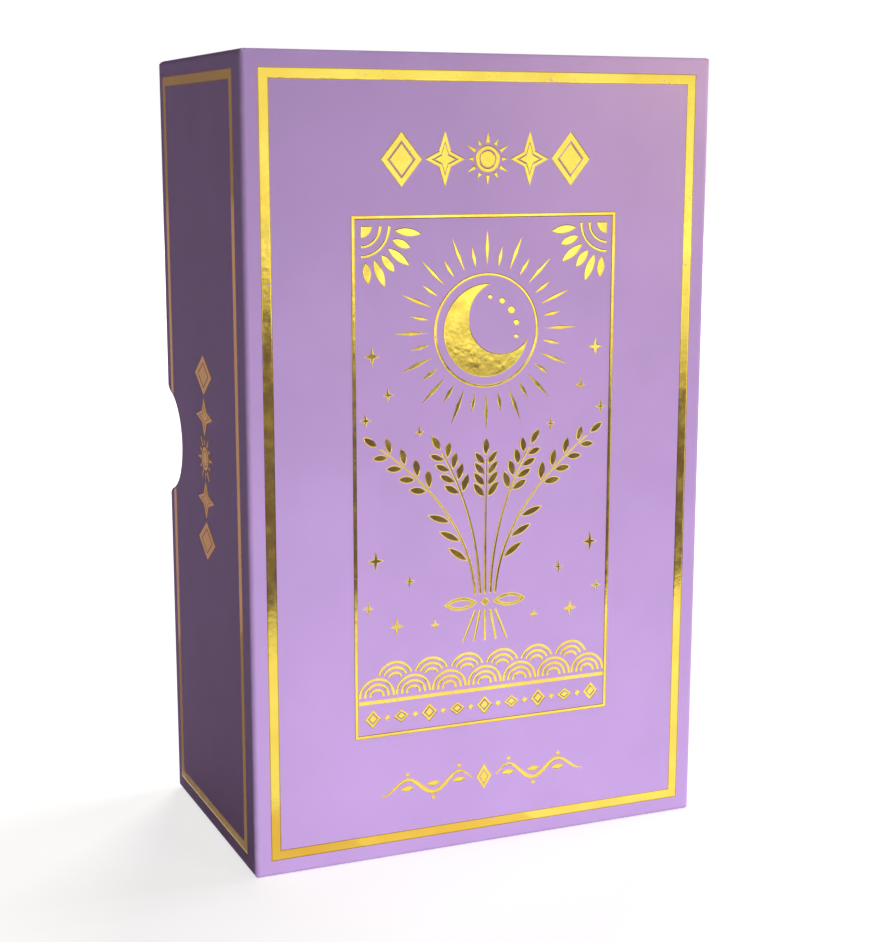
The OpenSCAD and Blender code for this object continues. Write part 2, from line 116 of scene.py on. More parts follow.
# Spots: place and target in metres, cone in degrees, lamp's radius in metres, colour
SPOTS = {
    "low": ((-0.10, -2.40, 0.30), (-0.01, -0.02, -0.035), 8.7, 0.08, "#FFFFFF"),
    "high": ((1.20, -2.20, 0.50), (0.047, -0.02, 0.135), 4.2, 0.08, "#FFF0B4"),
    "corner": ((0.10, -2.40, 0.30), (0.062, -0.02, 0.162), 3.5, 0.03, "#FFFF95"),
}

# Cards that only the foil mirrors, as a photographer sets them round a shiny object: colour and corners.
# Dark ones give the foil its dark bands, and pale ones tint it. The front one is the outline of the dark band
# in the front's foil, as that mirrors it on the floor.
FLAGS = {
    "front flag": ("#6B5D8E", (
        (-0.04, -0.176, 0), (0.16, -0.170, 0), (0.42, -0.53, 0), (0.36, -0.565, 0), (0.335, -0.60, 0),
        (0.29, -0.67, 0), (0.33, -1.00, 0), (0.46, -1.65, 0), (0.33, -1.68, 0), (0.05, -0.70, 0))),
    "left foot flag": ("#E9D1C4", (
        (-0.045, -0.026, 0), (-0.020, -0.026, 0), (-0.020, -0.052, 0), (-0.045, -0.052, 0))),
    "middle foot flag": ("#F8E4D6", (
        (-0.020, -0.026, 0), (0.012, -0.026, 0), (0.012, -0.045, 0), (-0.020, -0.052, 0))),
    "right fade flag": ("#DBCFCB", (
        (0.345, -0.60, 0), (0.44, -0.56, 0), (0.50, -0.68, 0), (0.40, -0.70, 0))),
    "right far flag": ("#FBFBFB", (
        (0.40, -0.70, 0), (0.50, -0.68, 0), (0.70, -0.97, 0), (1.10, -1.56, 0), (0.86, -1.60, 0),
        (0.55, -1.00, 0))),
    "right floor flag": ("#6B5D8E", (
        (0.20, -0.12, 0), (0.42, -0.35, 0), (0.62, -0.35, 0), (0.52, 0.40, 0), (0.25, 0.40, 0))),
    "high flag": ("#6B5D8E", (
        (-0.40, 0.30, 0.8), (0.40, 0.24, 0.8), (0.40, 0.38, 0.8), (-0.40, 0.46, 0.8))),
    "side near flag": ("#87737F", (
        (-0.40, -0.03, 0), (-0.042, -0.03, 0), (-0.042, 0.12, 0), (-0.40, 0.12, 0))),
    "side far flag": ("#A98CA9", (
        (-0.40, 0.12, 0), (-0.042, 0.12, 0), (-0.042, 0.25, 0), (-0.40, 0.25, 0))),
    "side low flag": ("#A98CA9", (
        (-0.60, 0.25, 0), (-0.02, 0.25, 0), (-0.02, 0.25, 0.10), (-0.60, 0.25, 0.10))),
    "side high flag": ("#87737F", (
        (-0.60, 0.25, 0.10), (-0.02, 0.25, 0.10), (-0.02, 0.25, 0.5), (-0.60, 0.25, 0.5))),
}
FLAG_LIFT = 0.5 * MM

# Floor: half its side, and where its own glow starts and ends, with the strength there
FLOOR_HALF = 5
GLOW_FROM, GLOW_TO = (0.12, 0.72), (0.42, 1.0)


def linear(code):
    """Linear RGB of an sRGB hex colour."""
    parts = [int(code[i:i + 2], 16) / 255 for i in (1, 3, 5)]
    return tuple(c / 12.92 if c <= 0.04045 else ((c + 0.055) / 1.055) ** 2.4 for c in parts)


def rgba(colour):
    """Four-part colour of an sRGB hex code or of a linear colour."""
    return (*(linear(colour) if isinstance(colour, str) else colour), 1.0)


def shade(colour, factor):
    """A linear colour made darker or lighter."""
    return tuple(min(1, c * factor) for c in colour)


def box_of(name):
    """Middle and half size of a CAD node, in metres."""
    low, high = (Vector(corner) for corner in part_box(name))
    return (low + high) / 2, (high - low) / 2


def add(tree, kind, inputs=(), **settings):
    """Add a node with its settings; an input takes a value, a socket, or a node's first output."""
    node = tree.nodes.new(kind)
    for name, value in settings.items():
        setattr(node, name, value)
    for name, value in inputs.items() if isinstance(inputs, dict) else enumerate(inputs):
        if isinstance(value, bpy.types.Node):
            value = value.outputs[0]
        if isinstance(value, bpy.types.NodeSocket):
            tree.links.new(value, node.inputs[name])
        else:
            node.inputs[name].default_value = value
    return node


def new_material(name, base, roughness, **values):
    """A Principled material, its tree, shader and Object coordinates; values go on the shader's sockets."""
    material = bpy.data.materials.new(name)
    material.use_nodes = True
    tree = material.node_tree
    shader = tree.nodes["Principled BSDF"]
    shader.inputs["Base Color"].default_value = rgba(base)
    shader.inputs["Roughness"].default_value = roughness
    for socket, value in values.items():
        shader.inputs[socket.replace("_", " ")].default_value = value
    place = add(tree, "ShaderNodeTexCoord").outputs["Object"]
    return material, tree, shader, place


def thin_axis(half):
    """Axis along which a box of these half sizes is thinnest."""
    return min(range(3), key=lambda axis: half[axis])


def depth_in(tree, place, name):
    """Sockets for how far a point lies inside a CAD node's box, along x, y and z."""
    middle, half = box_of(name)
    centred = add(tree, "ShaderNodeVectorMath", (place, middle), operation="SUBTRACT")
    inwards = add(tree, "ShaderNodeVectorMath", (centred,), operation="ABSOLUTE")
    inwards = add(tree, "ShaderNodeVectorMath", (half, inwards), operation="SUBTRACT")
    return add(tree, "ShaderNodeSeparateXYZ", (inwards,)).outputs


def dress(material, *names):
    """Give CAD nodes one material."""
    for name in names:
        NODES[name].data.materials.clear()
        NODES[name].data.materials.append(material)


def white_paper():
    """Uncoated white cover paper: matte, with faint cloudy formation and a fibre tooth."""
    name = "uncoated white paper"
    if name in bpy.data.materials:
        return bpy.data.materials[name]
    colour = bpy.context.scene.deck_colours.white_paper
    material, tree, shader, place = new_material(name, colour, 0.82, Specular_IOR_Level=0.3)
    cloud = add(tree, "ShaderNodeTexNoise", {"Vector": place, "Scale": 1 / (7 * MM), "Detail": 4})
    tone = add(tree, "ShaderNodeMapRange", (cloud, 0.3, 0.7, 0.95, 1.0))
    mixed = add(tree, "ShaderNodeMix", {0: tone, 6: rgba("#E9E4DC"), 7: rgba(colour)}, data_type="RGBA")
    tree.links.new(mixed.outputs[2], shader.inputs["Base Color"])
    tooth = add(tree, "ShaderNodeTexNoise", {"Vector": place, "Scale": 1 / (0.45 * MM), "Detail": 3})
    bump = add(tree, "ShaderNodeBump", {"Strength": 0.5, "Distance": 0.01 * MM, "Height": tooth})
    tree.links.new(bump.outputs[0], shader.inputs["Normal"])
    return material


def colour_property(name, description, code):
    """A colour that the user may change."""
    return bpy.props.FloatVectorProperty(name=name, description=description, subtype="COLOR", size=3,
                                         min=0, max=1, default=linear(code))


def power_property(name, description, watts):
    """A lamp's power that the user may change."""
    return bpy.props.FloatProperty(name=name, description=description, unit="POWER", default=watts, min=0)


class DeckColours(bpy.types.PropertyGroup):
    """Colours of the papers, the foil and the printing."""

    lid_paper: colour_property("Lid paper", "Lavender wrap of the lid", "#CBA8E6")
    foil: colour_property("Foil", "Gold of the stamped foil", "#FDE868")
    white_paper: colour_property("White paper", "Wrap of the base and both linings", "#F4F1EC")
    book_cover: colour_property("Guidebook cover", "Printed cover card", "#B898D6")
    book_paper: colour_property("Guidebook paper", "Uncoated book paper", "#F3EEDF")
    card_white: colour_property("Card stock", "Coated card stock", "#F1EEF2")
    card_print: colour_property("Card print", "Printed ground of the card backs", "#A688CC")
    gold_ink: colour_property("Gold ink", "Printed gold of cards and guidebook", "#D9B65C")


class DeckStage(bpy.types.PropertyGroup):
    """Camera and light."""

    lens: bpy.props.FloatProperty(
        name="Lens", description="Focal length in mm on a 36 mm sensor", default=67.72, min=20, max=200)
    yaw: bpy.props.FloatProperty(
        name="Yaw", description="Camera's turn to the right", subtype="ANGLE", default=math.radians(23.02))
    pitch: bpy.props.FloatProperty(
        name="Pitch", description="Camera's tilt upwards", subtype="ANGLE", default=math.radians(-11.27))
    key_power: power_property("Key", "Power of the soft key light", 16.2)
    side_power: power_property("Side", "Power of the soft light high on the right", 18.0)
    back_power: power_property("Back", "Power of the soft light behind", 38.0)
    low_power: power_property("Low spot", "Power of the spot on the foot of the box", 140.0)
    high_power: power_property("High spot", "Power of the warm spot on the top of the box", 45.0)
    corner_power: power_property("Corner spot", "Power of the warm spot on the upper right corner", 95.0)
    ambient: bpy.props.FloatProperty(
        name="Ambient", description="Strength of the even light from all round", default=0.045, min=0)


class DECK_OT_stage(bpy.types.Operator):
    """Floor, light and the camera at the photograph's angle"""

    bl_idname = "deck.stage"
    bl_label = "Stage"

    def execute(self, context):
        scene, stage = context.scene, context.scene.deck_stage
        scene.view_settings.view_transform = "Standard"
        self.camera(scene, stage)
        self.floor(scene)
        self.world(scene, stage.ambient)
        for name, (place, target, size) in LAMPS.items():
            lamp = self.lamp(scene, name, "AREA", place, target, getattr(stage, name + "_power"))
            lamp.shape = "RECTANGLE"
            lamp.size, lamp.size_y = size
        for name, (place, target, cone, radius, colour) in SPOTS.items():
            lamp = self.lamp(scene, name + " spot", "SPOT", place, target, getattr(stage, name + "_power"))
            lamp.color = linear(colour)
            lamp.spot_size = math.radians(cone)
            lamp.spot_blend = 1.0
            lamp.shadow_soft_size = radius
        for name, (colour, corners) in FLAGS.items():
            self.flag(scene, name, colour, corners)
        return {"FINISHED"}

    def camera(self, scene, stage):
        camera = bpy.data.objects.new("camera", bpy.data.cameras.new("camera"))
        scene.collection.objects.link(camera)
        camera.data.sensor_width = SENSOR
        camera.data.lens = stage.lens
        camera.data.shift_x, camera.data.shift_y = (shift / IMAGE_H for shift in FRAME_SHIFT)
        camera.data.clip_start = 0.01
        camera.data.clip_end = 20
        camera.location = CAMERA_AT
        camera.rotation_euler = (math.pi / 2 + stage.pitch, 0, -stage.yaw)
        scene.camera = camera

    def seen(self, tree):
        """1 for rays from the camera and for those that metal or glass sends on, 0 for light."""
        path = add(tree, "ShaderNodeLightPath")
        direct = add(tree, "ShaderNodeMath", (path.outputs["Is Camera Ray"], path.outputs["Is Glossy Ray"]),
                     operation="MAXIMUM")
        return add(tree, "ShaderNodeMath", (direct, path.outputs["Is Transmission Ray"]), operation="MAXIMUM")

    def floor(self, scene):
        """Pale seamless sheet: it shades near the object and runs out to plain white."""
        floor = bpy.data.objects.new("floor", bpy.data.meshes.new("floor"))
        corners = [(x * FLOOR_HALF, y * FLOOR_HALF, 0) for x, y in ((-1, -1), (1, -1), (1, 1), (-1, 1))]
        floor.data.from_pydata(corners, [], [(0, 1, 2, 3)])
        scene.collection.objects.link(floor)
        material, tree, shader, place = new_material("white backdrop paper", "#C0BEBB", 0.9)
        far = add(tree, "ShaderNodeVectorMath", (place,), operation="LENGTH")
        fade = add(tree, "ShaderNodeMapRange",
                   (far.outputs["Value"], GLOW_FROM[0], GLOW_TO[0], GLOW_FROM[1], GLOW_TO[1]),
                   interpolation_type="SMOOTHSTEP")
        glow = add(tree, "ShaderNodeMath", (fade, self.seen(tree)), operation="MULTIPLY")
        shader.inputs["Emission Color"].default_value = (1, 1, 1, 1)
        tree.links.new(glow.outputs[0], shader.inputs["Emission Strength"])
        floor.data.materials.append(material)

    def world(self, scene, ambient):
        """Plain white to look at, and a faint warm light from all round."""
        scene.world = bpy.data.worlds.new("studio")
        scene.world.use_nodes = True
        tree = scene.world.node_tree
        tree.nodes.clear()
        seen = self.seen(tree)
        level = add(tree, "ShaderNodeMapRange", (seen, 0.0, 1.0, ambient, 1.0))
        tint = add(tree, "ShaderNodeMix", {0: seen, 6: rgba("#FFF3D8"), 7: (1, 1, 1, 1)}, data_type="RGBA")
        light = add(tree, "ShaderNodeBackground", (tint.outputs[2], level))
        add(tree, "ShaderNodeOutputWorld", (light,))

    def lamp(self, scene, name, kind, place, target, power):
        """A lamp that lights the object and isn't seen, also not in the foil; gives its data back."""
        lamp = bpy.data.objects.new(name, bpy.data.lights.new(name, kind))
        lamp.data.energy = power
        lamp.location = place
        lamp.rotation_euler = (Vector(target) - Vector(place)).to_track_quat("-Z", "Y").to_euler()
        lamp.visible_camera = lamp.visible_glossy = False
        scene.collection.objects.link(lamp)
        return lamp.data

    def flag(self, scene, name, colour, corners):
        flag = bpy.data.objects.new(name, bpy.data.meshes.new(name))
        flag.data.from_pydata([(x, y, z + FLAG_LIFT) for x, y, z in corners], [], [range(len(corners))])
        material, _, shader, _ = new_material("flag card", "#000000", 1.0, Specular_IOR_Level=0.0)
        shader.inputs["Emission Color"].default_value = rgba(colour)
        shader.inputs["Emission Strength"].default_value = 1.0
        flag.data.materials.append(material)
        scene.collection.objects.link(flag)
        flag.visible_camera = flag.visible_diffuse = flag.visible_shadow = flag.visible_transmission = False


class DECK_OT_lid(bpy.types.Operator):
    """Soft-touch paper wrap and white lining of the lid"""

    bl_idname = "deck.lid"
    bl_label = "Lid papers"

    def execute(self, context):
        dress(self.soft_touch(context.scene.deck_colours.lid_paper), "lid_wrap")
        dress(white_paper(), "lid_lining")
        return {"FINISHED"}

    def soft_touch(self, colour):
        """Art paper under a soft-touch film: matte and even, with a faint bloom and rubbed edges."""
        material, tree, shader, place = new_material("soft-touch laminated paper", colour, 0.6,
                                                     Specular_IOR_Level=0.05)
        depth = depth_in(tree, place, "lid_wrap")
        # Of the distances to the three pairs of walls, the middle one is the distance to the nearest edge.
        low = add(tree, "ShaderNodeMath", (depth[0], depth[1]), operation="MINIMUM")
        high = add(tree, "ShaderNodeMath", (depth[0], depth[1]), operation="MAXIMUM")
        high = add(tree, "ShaderNodeMath", (high, depth[2]), operation="MINIMUM")
        edge = add(tree, "ShaderNodeMath", (low, high), operation="MAXIMUM")
        near_edge = add(tree, "ShaderNodeMapRange", (edge, 1.0 * MM, 0.2 * MM, 0.0, 1.0),
                        interpolation_type="SMOOTHSTEP")
        rubbed = add(tree, "ShaderNodeTexNoise", {"Vector": place, "Scale": 1 / (3.5 * MM), "Detail": 5})
        rubbed = add(tree, "ShaderNodeMapRange", (rubbed, 0.5, 0.75, 0.0, 0.25))
        wear = add(tree, "ShaderNodeMath", (near_edge, rubbed), operation="MULTIPLY")

        cloud = add(tree, "ShaderNodeTexNoise", {"Vector": place, "Scale": 1 / (16 * MM), "Detail": 3})
        tone = add(tree, "ShaderNodeMapRange", (cloud, 0.3, 0.7, 0.0, 1.0))
        deep, pale = shade(colour, 0.955), shade(colour, 1.035)
        base = add(tree, "ShaderNodeMix", {0: tone, 6: rgba(deep), 7: rgba(pale)}, data_type="RGBA")
        worn = add(tree, "ShaderNodeMix", {0: wear, 6: base.outputs[2], 7: rgba("#E6D8F1")}, data_type="RGBA")

        # The end walls' paper covers the flaps folded round from the sides, so its cut edge shows there.
        side_in = add(tree, "ShaderNodeMath", (depth[0], 0.9 * MM, 0.07 * MM), operation="COMPARE")
        on_end = add(tree, "ShaderNodeMath", (depth[2], 0.3 * MM), operation="LESS_THAN")
        seam = add(tree, "ShaderNodeMath", (side_in, on_end), operation="MULTIPLY")
        seam_tone = add(tree, "ShaderNodeMath", (seam, 0.35), operation="MULTIPLY")
        lined = add(tree, "ShaderNodeMix", {0: seam_tone, 6: worn.outputs[2], 7: rgba("#6C5285")},
                    data_type="RGBA")
        tree.links.new(lined.outputs[2], shader.inputs["Base Color"])

        rough = add(tree, "ShaderNodeMapRange", (cloud, 0.3, 0.7, 0.56, 0.66))
        tree.links.new(rough.outputs[0], shader.inputs["Roughness"])
        grain = add(tree, "ShaderNodeTexNoise", {"Vector": place, "Scale": 1 / (0.4 * MM), "Detail": 3})
        height = add(tree, "ShaderNodeMath", (seam, -4.0, grain), operation="MULTIPLY_ADD")
        bump = add(tree, "ShaderNodeBump", {"Strength": 0.6, "Distance": 0.006 * MM, "Height": height})
        tree.links.new(bump.outputs[0], shader.inputs["Normal"])
        return material


class DECK_OT_foil(bpy.types.Operator):
    """Hot-stamped gold foil on the lid"""

    bl_idname = "deck.foil"
    bl_label = "Gold foil"

    def execute(self, context):
        colours = context.scene.deck_colours
        ornaments = [name for name in FOILS if name not in BANDS]
        gold = self.gold(colours)
        dress(gold, *ornaments)
        for name in BANDS:
            dress(self.gold(colours, name), name)
        self.lips(ornaments, gold)
        return {"FINISHED"}

    def outlines(self, name, out):
        """Loops of points round the face of a foil that looks out, its inside on the left."""
        mesh = NODES[name].data
        spots = [tuple(round(part, DIGITS) for part in corner.co) for corner in mesh.vertices]
        edges = {}
        for face in mesh.polygons:
            if face.normal.dot(out) > FACING:
                ring = [spots[index] for index in face.vertices]
                edges.update(dict.fromkeys(zip(ring, ring[1:] + ring[:1])))
        following = {start: end for start, end in edges if (end, start) not in edges}
        while following:
            first, point = following.popitem()
            loop = [first]
            while point in following:
                loop.append(point)
                point = following.pop(point)
            if point == first and len(loop) > 2:
                yield [Vector(spot) for spot in loop]

    def lips(self, ornaments, gold):
        """Lips round the ornaments, where the foil climbs the wall that the die left in the paper."""
        points, faces = [], []
        lid_middle, _ = box_of("lid_wrap")
        for name in ornaments:
            middle, half = box_of(name)
            wall = thin_axis(half)
            out = Vector([math.copysign(1, middle[axis] - lid_middle[axis]) if axis == wall else 0
                          for axis in range(3)])
            for loop in self.outlines(name, out):
                inwards = [out.cross(end - start).normalized()
                           for start, end in zip(loop, loop[1:] + loop[:1])]
                first = len(points)
                for index, point in enumerate(loop):
                    before, after = inwards[index - 1], inwards[index]
                    mitre = (before + after) / max(1 + before.dot(after), 2 / LIP_REACH ** 2)
                    points += [point, point + out * LIP_H, point + mitre * LIP_W]
                rows = [range(start, start + 3) for start in range(first, len(points), 3)]
                for here, there in zip(rows, rows[1:] + rows[:1]):
                    for a, b in ((1, 2), (0, 1), (2, 0)):
                        faces.append((here[a], there[a], there[b], here[b]))
        mesh = bpy.data.meshes.new("foil_lips")
        mesh.from_pydata(points, [], faces)
        mesh.materials.append(gold)
        piece = bpy.data.objects.new("foil_lips", mesh)
        bpy.context.scene.collection.objects.link(piece)
        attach(piece, "lid")

    def bite(self, tree, place, band):
        """1 at both edges of a rectangular line, where the die presses deepest, and 0 between them."""
        middle, half = box_of(band)
        wall = thin_axis(half)
        axes = [axis for axis in range(3) if axis != wall]
        corners = [corner.co - middle for corner in NODES[band].data.vertices]
        width = min(half[axis] - min(abs(corner[axis]) for corner in corners) for axis in axes)
        depth = depth_in(tree, place, band)
        outer = add(tree, "ShaderNodeMath", [depth[axis] for axis in axes], operation="MINIMUM")
        inner = add(tree, "ShaderNodeMath", (outer, width), operation="SUBTRACT")
        inner = add(tree, "ShaderNodeMath", (inner,), operation="ABSOLUTE")
        edge = add(tree, "ShaderNodeMath", (outer, inner), operation="MINIMUM")
        return add(tree, "ShaderNodeMapRange", (edge, 0.0, min(BITE, width / 4), 1.0, 0.0),
                   interpolation_type="SMOOTHSTEP")

    def gold(self, colours, band=None):
        """Aluminium vapour under gold lacquer, stamped hot: a mirror that ripples with the paper under it.

        A band is a foil that is one rectangular line; its edges are sunk, and painted darker brown as painted
        shade and painted dark reflection of the sunk groove.
        """
        material, tree, shader, place = new_material("hot-stamped gold foil", colours.foil, 0.13,
                                                     Metallic=1.0)
        wash = add(tree, "ShaderNodeTexNoise", {"Vector": place, "Scale": 1 / (9 * MM), "Detail": 2})
        tint = add(tree, "ShaderNodeMapRange", (wash, 0.35, 0.65, 0.0, 1.0))
        gold = add(tree, "ShaderNodeMix", {0: tint, 6: rgba("#F8D95C"), 7: rgba(colours.foil)},
                   data_type="RGBA")
        # Pinholes come in patches, where the die pressed lightly, and show the paper.
        patch = add(tree, "ShaderNodeTexNoise", {"Vector": place, "Scale": 1 / (13 * MM), "Detail": 1})
        patch = add(tree, "ShaderNodeMapRange", (patch, 0.52, 0.66, 0.0, 1.0))
        pinhole = add(tree, "ShaderNodeTexNoise", {"Vector": place, "Scale": 1 / (0.6 * MM), "Detail": 2})
        pinhole = add(tree, "ShaderNodeMapRange", (pinhole, 0.70, 0.73, 0.0, 1.0))
        bare = add(tree, "ShaderNodeMath", (patch, pinhole), operation="MULTIPLY")
        stamped = add(tree, "ShaderNodeMix", {0: bare, 6: gold.outputs[2], 7: rgba(colours.lid_paper)},
                      data_type="RGBA")
        if band:
            bite = self.bite(tree, place, band)
            # Painted shade: the band's edges are tinted dark brown in the base colour, standing in for the
            # shade and dark reflection of the sunk groove.
            painted_rim_shade = add(tree, "ShaderNodeMath", (bite, 0.75), operation="MULTIPLY")
            stamped = add(tree, "ShaderNodeMix", {0: painted_rim_shade, 6: stamped.outputs[2], 7: rgba("#8A5A1C")},
                          data_type="RGBA")
        tree.links.new(stamped.outputs[2], shader.inputs["Base Color"])
        metal = add(tree, "ShaderNodeMath", (1.0, bare), operation="SUBTRACT")
        tree.links.new(metal.outputs[0], shader.inputs["Metallic"])
        smear = add(tree, "ShaderNodeTexNoise", {"Vector": place, "Scale": 1 / (2.5 * MM), "Detail": 3})
        rough = add(tree, "ShaderNodeMapRange", (smear, 0.35, 0.7, 0.09, 0.2))
        tree.links.new(rough.outputs[0], shader.inputs["Roughness"])
        peel = add(tree, "ShaderNodeTexNoise", {"Vector": place, "Scale": 1 / (1.1 * MM), "Detail": 1})
        sway = add(tree, "ShaderNodeTexNoise", {"Vector": place, "Scale": 1 / (12 * MM), "Detail": 0})
        height = add(tree, "ShaderNodeMath", (sway, 3.0, peel), operation="MULTIPLY_ADD")
        if band:
            height = add(tree, "ShaderNodeMath", (bite, -1.5, height), operation="MULTIPLY_ADD")
        bump = add(tree, "ShaderNodeBump", {"Strength": 1.0, "Distance": 0.009 * MM, "Height": height})
        tree.links.new(bump.outputs[0], shader.inputs["Normal"])
        return material


class DECK_OT_base(bpy.types.Operator):
    """Boards and corner tapes of lid and base, and the white papers of the base"""

    bl_idname = "deck.base"
    bl_label = "Base"

    def execute(self, context):
        dress(white_paper(), "base_wrap", "base_lining")
        dress(self.greyboard(), "lid_board", "base_board")
        dress(self.tape(), "lid_corner_tapes", "base_corner_tapes")
        return {"FINISHED"}

    def greyboard(self):
        """Pressed waste-paper board: warm grey, with pale and dark flecks of old print and a rough tooth."""
        material, tree, shader, place = new_material("greyboard", "#A19A90", 0.9, Specular_IOR_Level=0.2)
        fleck = add(tree, "ShaderNodeTexNoise", {"Vector": place, "Scale": 1 / (0.9 * MM), "Detail": 4})
        ramp = add(tree, "ShaderNodeValToRGB", (fleck,))
        dark, pale = ramp.color_ramp.elements
        dark.position, pale.position = 0.3, 0.72
        dark.color, pale.color = rgba("#6F675E"), rgba("#C2BBB0")
        ramp.color_ramp.elements.new(0.5).color = rgba("#A19A90")
        tree.links.new(ramp.outputs[0], shader.inputs["Base Color"])
        bump = add(tree, "ShaderNodeBump", {"Strength": 0.6, "Distance": 0.03 * MM, "Height": fleck})
        tree.links.new(bump.outputs[0], shader.inputs["Normal"])
        return material

    def tape(self):
        """Gummed kraft paper: brown, with fibres that lie along the roll."""
        material, tree, shader, place = new_material("kraft paper tape", "#B99A6B", 0.75,
                                                     Specular_IOR_Level=0.3)
        fibre_size = Vector((0.5, 4.0, 0.5)) * MM
        along = add(tree, "ShaderNodeMapping", {"Vector": place, "Scale": [1 / size for size in fibre_size]})
        fibre = add(tree, "ShaderNodeTexNoise", {"Vector": along, "Scale": 1.0, "Detail": 4})
        tone = add(tree, "ShaderNodeMapRange", (fibre, 0.3, 0.7, 0.0, 1.0))
        mixed = add(tree, "ShaderNodeMix", {0: tone, 6: rgba("#A38353"), 7: rgba("#CDB184")},
                    data_type="RGBA")
        tree.links.new(mixed.outputs[2], shader.inputs["Base Color"])
        bump = add(tree, "ShaderNodeBump", {"Strength": 0.4, "Distance": 0.02 * MM, "Height": fibre})
        tree.links.new(bump.outputs[0], shader.inputs["Normal"])
        return material


def printed_ornament(tree, across, up, half_w, half_h):
    """Nodes for a printed page: distance outside its frame, where frame and medallion print, and radius.

    across and up are sockets in mm from the page's middle; half_w and half_h are the frame's half sizes.
    """
    far_x = add(tree, "ShaderNodeMath", (across,), operation="ABSOLUTE")
    far_x = add(tree, "ShaderNodeMath", (far_x, half_w), operation="SUBTRACT")
    far_z = add(tree, "ShaderNodeMath", (up,), operation="ABSOLUTE")
    far_z = add(tree, "ShaderNodeMath", (far_z, half_h), operation="SUBTRACT")
    outside = add(tree, "ShaderNodeMath", (far_x, far_z), operation="MAXIMUM")
    middle = add(tree, "ShaderNodeCombineXYZ", (across, up, 0.0))
    radius = add(tree, "ShaderNodeVectorMath", (middle,), operation="LENGTH").outputs["Value"]
    marks = [add(tree, "ShaderNodeMath", (outside, -inset, width), operation="COMPARE")
             for inset, width in FRAME_LINES]
    marks += [add(tree, "ShaderNodeMath", (radius, ring, width), operation="COMPARE")
              for ring, width in RINGS]
    # A flower: its edge swings between two radii as it turns.
    angle = add(tree, "ShaderNodeMath", (across, up), operation="ARCTAN2")
    turn = add(tree, "ShaderNodeMath", (angle, math.pi / PETALS), operation="PINGPONG")
    edge = add(tree, "ShaderNodeMapRange", (turn, 0.0, math.pi / PETALS, PETAL_TIP, PETAL_WAIST))
    flower = add(tree, "ShaderNodeMath", (radius, edge), operation="LESS_THAN")
    hub = add(tree, "ShaderNodeMath", (radius, PETAL_HUB), operation="GREATER_THAN")
    marks.append(add(tree, "ShaderNodeMath", (flower, hub), operation="MULTIPLY"))
    printed = reduce(lambda one, other: add(tree, "ShaderNodeMath", (one, other), operation="MAXIMUM"), marks)
    return outside, printed, radius


def stack_tree():
    """Geometry Nodes: a row of copies of the object's own mesh, each a little out of place."""
    tree = bpy.data.node_groups.new("stack", "GeometryNodeTree")
    for name, kind in (("Piece", "Geometry"), ("Count", "Int"), ("Start", "Vector"), ("Step", "Vector"),
                       ("Slip", "Vector"), ("Turn", "Vector"), ("Seed", "Int"), ("Finish", "Material")):
        tree.interface.new_socket(name, in_out="INPUT", socket_type="NodeSocket" + kind)
    tree.interface.new_socket("Stack", in_out="OUTPUT", socket_type="NodeSocketGeometry")
    given = add(tree, "NodeGroupInput").outputs
    row = add(tree, "GeometryNodeMeshLine",
              {"Count": given["Count"], "Start Location": given["Start"], "Offset": given["Step"]})
    least = add(tree, "ShaderNodeVectorMath", {0: given["Slip"], "Scale": -1.0}, operation="SCALE")
    slip = add(tree, "FunctionNodeRandomValue", {0: least, 1: given["Slip"], 8: given["Seed"]},
               data_type="FLOAT_VECTOR")
    row = add(tree, "GeometryNodeSetPosition", {"Geometry": row, "Offset": slip})
    least = add(tree, "ShaderNodeVectorMath", {0: given["Turn"], "Scale": -1.0}, operation="SCALE")
    next_seed = add(tree, "ShaderNodeMath", (given["Seed"], 1.0))
    turn = add(tree, "FunctionNodeRandomValue", {0: least, 1: given["Turn"], 8: next_seed},
               data_type="FLOAT_VECTOR")
    copies = add(tree, "GeometryNodeInstanceOnPoints",
                 {"Points": row, "Instance": given["Piece"], "Rotation": turn})
    made = add(tree, "GeometryNodeRealizeInstances", (copies,))
    made = add(tree, "GeometryNodeSetMaterial", {"Geometry": made, "Material": given["Finish"]})
    add(tree, "NodeGroupOutput", (made,))
    return tree


def stacked(name, mesh, **values):
    """A piece made by the stack tree from one mesh, as a plain mesh with no modifier left."""
    tree = bpy.data.node_groups.get("stack") or stack_tree()
    piece = bpy.data.objects.new(name, mesh)
    bpy.context.scene.collection.objects.link(piece)
    modifier = piece.modifiers.new("stack", "NODES")
    modifier.node_group = tree
    for socket in tree.interface.items_tree:
        if socket.name in values:
            modifier[socket.identifier] = values[socket.name]
    graph = bpy.context.evaluated_depsgraph_get()
    made = bpy.data.meshes.new_from_object(piece.evaluated_get(graph), preserve_all_data_layers=True,
                                           depsgraph=graph)
    piece.modifiers.remove(modifier)
    piece.data = made
    return piece


